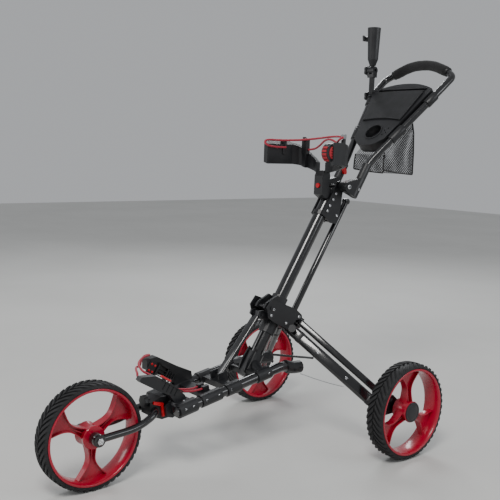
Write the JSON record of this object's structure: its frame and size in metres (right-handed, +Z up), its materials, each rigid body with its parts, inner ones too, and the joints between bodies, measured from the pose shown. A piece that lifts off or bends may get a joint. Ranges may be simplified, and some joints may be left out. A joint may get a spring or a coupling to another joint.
{
  "type": "golf push trolley",
  "caption": "Folding golf push trolley with red-rimmed wheels, splayed rear legs, leaning mast, bag cradles with elastic cords, console and umbrella holder.",
  "frame": {"origin": "on the ground, under the middle of the outline", "axes": "+Z up, -Y towards the front wheel, +X to the trolley's left as seen by the person pushing it"},
  "size_m": [0.687, 1.3371, 1.2454],
  "materials": {
    "painted_black": "gloss black powder coat",
    "black_plastic": "satin black moulding",
    "red_plastic": "gloss red moulding",
    "tyre_rubber": "matt black tyre",
    "grip_foam": "matt black foam",
    "red_cord": "woven red cord",
    "steel": "bright plated steel",
    "net_mesh": "black mesh"
  },
  "bodies": {
    "base": {"side_tube_left": "painted_black", "side_tube_right": "painted_black", "end_cap_left": "black_plastic", "end_cap_right": "black_plastic", "front_casting": "black_plastic", "cord_bridge": "black_plastic", "strut_bracket": "black_plastic", "mast_yoke": "black_plastic", "lower_mast_tube": "painted_black", "central_bracket": "black_plastic", "front_strut": "painted_black", "stay_rod": "painted_black", "lower_cradle_arm_left": "black_plastic", "lower_cradle_arm_right": "black_plastic", "lower_cord": "red_cord"},
    "fork": {"fork_tube": "painted_black", "fork_head": "black_plastic", "front_axle": "steel"},
    "front_wheel": {"front_tyre": "tyre_rubber", "front_rim": "red_plastic"},
    "alignment_knob": {"alignment_knob": "black_plastic"},
    "front_latch_lever": {"front_latch_lever": "red_plastic"},
    "left_leg": {"leg_left": "painted_black", "leg_tether": "steel"},
    "left_leg_rod": {"leg_rod_left": "painted_black"},
    "left_hub": {"hub_bracket_left": "black_plastic"},
    "left_wheel": {"rear_left_tyre": "tyre_rubber", "rear_left_rim": "red_plastic", "rear_left_hub_cap": "black_plastic"},
    "right_leg": {"leg_right": "painted_black"},
    "right_leg_rod": {"leg_rod_right": "painted_black"},
    "right_hub": {"hub_bracket_right": "black_plastic"},
    "right_wheel": {"rear_right_tyre": "tyre_rubber", "rear_right_rim": "red_plastic", "rear_right_hub_cap": "black_plastic"},
    "mast": {"upper_mast_tube": "painted_black", "mast_collar": "black_plastic", "upper_bracket": "black_plastic", "upper_cradle_stem": "black_plastic", "upper_cradle_arm_left": "black_plastic", "upper_cradle_arm_right": "black_plastic", "upper_cord": "red_cord"},
    "cradle_release_button": {"cradle_release_button": "red_plastic"},
    "link_rod": {"link_rod": "painted_black"},
    "handle": {"handle_tube": "painted_black", "elbow_left": "black_plastic", "elbow_right": "black_plastic", "handle_grip": "grip_foam", "console": "black_plastic", "net_bag": "net_mesh", "umbrella_clamp": "black_plastic"},
    "handle_lock_lever": {"handle_lock_lever": "red_plastic"},
    "console_lid": {"console_lid": "black_plastic"},
    "umbrella_socket": {"umbrella_socket": "black_plastic"},
    "tilt_knob": {"tilt_knob": "black_plastic"},
    "clamp_knob": {"clamp_knob": "black_plastic"},
    "umbrella_wing_screw": {"umbrella_wing_screw": "black_plastic"}
  },
  "joints": [
    {"name": "fork_fold", "type": "hinge", "parent": "base", "child": "fork", "pos_m": [0, -0.32709, 0.163], "axis": [1, 0, 0], "range_deg": [0, 95]},
    {"name": "front_wheel_spin", "type": "hinge", "parent": "fork", "child": "front_wheel", "pos_m": [0, -0.54259, 0.135], "axis": [1, 0, 0], "continuous": true},
    {"name": "alignment_knob_turn", "type": "hinge", "parent": "fork", "child": "alignment_knob", "pos_m": [0, -0.38709, 0.193], "axis": [0, 1, 0], "continuous": true},
    {"name": "front_latch_press", "type": "hinge", "parent": "fork", "child": "front_latch_lever", "pos_m": [0.024, -0.35109, 0.185], "axis": [1, 0, 0], "range_deg": [0, 16], "stiffness_Nm_per_rad": 0.6},
    {"name": "left_leg_fold", "type": "hinge", "parent": "base", "child": "left_leg", "pos_m": [0.027, 0.09032, 0.32694], "axis": [0.6925, -0.6118, 0.3823], "range_deg": [0, 62]},
    {"name": "left_leg_rod_fold", "type": "hinge", "parent": "base", "child": "left_leg_rod", "pos_m": [0.0345, 0.11469, 0.35235], "axis": [0.6925, -0.6118, 0.3823], "range_deg": [0, 62]},
    {"name": "left_hub_swing", "type": "hinge", "parent": "left_leg", "child": "left_hub", "pos_m": [0.2575, 0.22691, 0.128], "axis": [0.6925, -0.6118, 0.3823], "range_deg": [-62, 0]},
    {"name": "left_wheel_spin", "type": "hinge", "parent": "left_hub", "child": "left_wheel", "pos_m": [0.3155, 0.26491, 0.135], "axis": [1, 0, 0], "continuous": true},
    {"name": "right_leg_fold", "type": "hinge", "parent": "base", "child": "right_leg", "pos_m": [-0.027, 0.09032, 0.32694], "axis": [0.6925, 0.6118, -0.3823], "range_deg": [0, 62]},
    {"name": "right_leg_rod_fold", "type": "hinge", "parent": "base", "child": "right_leg_rod", "pos_m": [-0.0345, 0.11469, 0.35235], "axis": [0.6925, 0.6118, -0.3823], "range_deg": [0, 62]},
    {"name": "right_hub_swing", "type": "hinge", "parent": "right_leg", "child": "right_hub", "pos_m": [-0.2575, 0.22691, 0.128], "axis": [0.6925, 0.6118, -0.3823], "range_deg": [-62, 0]},
    {"name": "right_wheel_spin", "type": "hinge", "parent": "right_hub", "child": "right_wheel", "pos_m": [-0.3155, 0.26491, 0.135], "axis": [1, 0, 0], "continuous": true},
    {"name": "mast_fold", "type": "hinge", "parent": "base", "child": "mast", "pos_m": [0, 0.00128, 0.40145], "axis": [1, 0, 0], "range_deg": [0, 105]},
    {"name": "cradle_button_press", "type": "slide", "parent": "mast", "child": "cradle_release_button", "axis": [0, 1, 0], "range_m": [0, 0.003], "stiffness_N_per_m": 300},
    {"name": "link_rod_slide", "type": "slide", "parent": "mast", "child": "link_rod", "axis": [0, 0.5299, 0.848], "range_m": [-0.048, 0]},
    {"name": "handle_fold", "type": "hinge", "parent": "mast", "child": "handle", "pos_m": [0, 0.26487, 0.74025], "axis": [1, 0, 0], "range_deg": [-100, 0]},
    {"name": "handle_lock_turn", "type": "hinge", "parent": "handle", "child": "handle_lock_lever", "pos_m": [-0.032, 0.33864, 0.77905], "axis": [1, 0, 0], "range_deg": [-60, 0]},
    {"name": "console_lid_open", "type": "hinge", "parent": "handle", "child": "console_lid", "pos_m": [0, 0.55112, 1.03401], "axis": [1, 0, 0], "range_deg": [-95, 0]},
    {"name": "umbrella_tilt", "type": "hinge", "parent": "handle", "child": "umbrella_socket", "pos_m": [-0.12914, 0.55053, 1.10936], "axis": [1, 0, 0], "range_deg": [-60, 60]},
    {"name": "tilt_knob_turn", "type": "hinge", "parent": "handle", "child": "tilt_knob", "pos_m": [-0.12914, 0.55053, 1.10936], "axis": [1, 0, 0], "continuous": true},
    {"name": "clamp_knob_turn", "type": "hinge", "parent": "handle", "child": "clamp_knob", "pos_m": [-0.12914, 0.55853, 1.02736], "axis": [1, 0, 0], "continuous": true},
    {"name": "wing_screw_turn", "type": "hinge", "parent": "umbrella_socket", "child": "umbrella_wing_screw", "pos_m": [-0.12914, 0.55053, 1.21536], "axis": [1, 0, 0], "continuous": true}
  ],
  "couplings": [
    {"joint": "right_leg_fold", "follows": "left_leg_fold", "ratio": 1},
    {"joint": "left_leg_rod_fold", "follows": "left_leg_fold", "ratio": 1},
    {"joint": "right_leg_rod_fold", "follows": "left_leg_fold", "ratio": 1},
    {"joint": "left_hub_swing", "follows": "left_leg_fold", "ratio": -1},
    {"joint": "right_hub_swing", "follows": "left_leg_fold", "ratio": -1},
    {"joint": "link_rod_slide", "follows": "handle_fold", "m_per_rad": 0.0257}
  ]
}
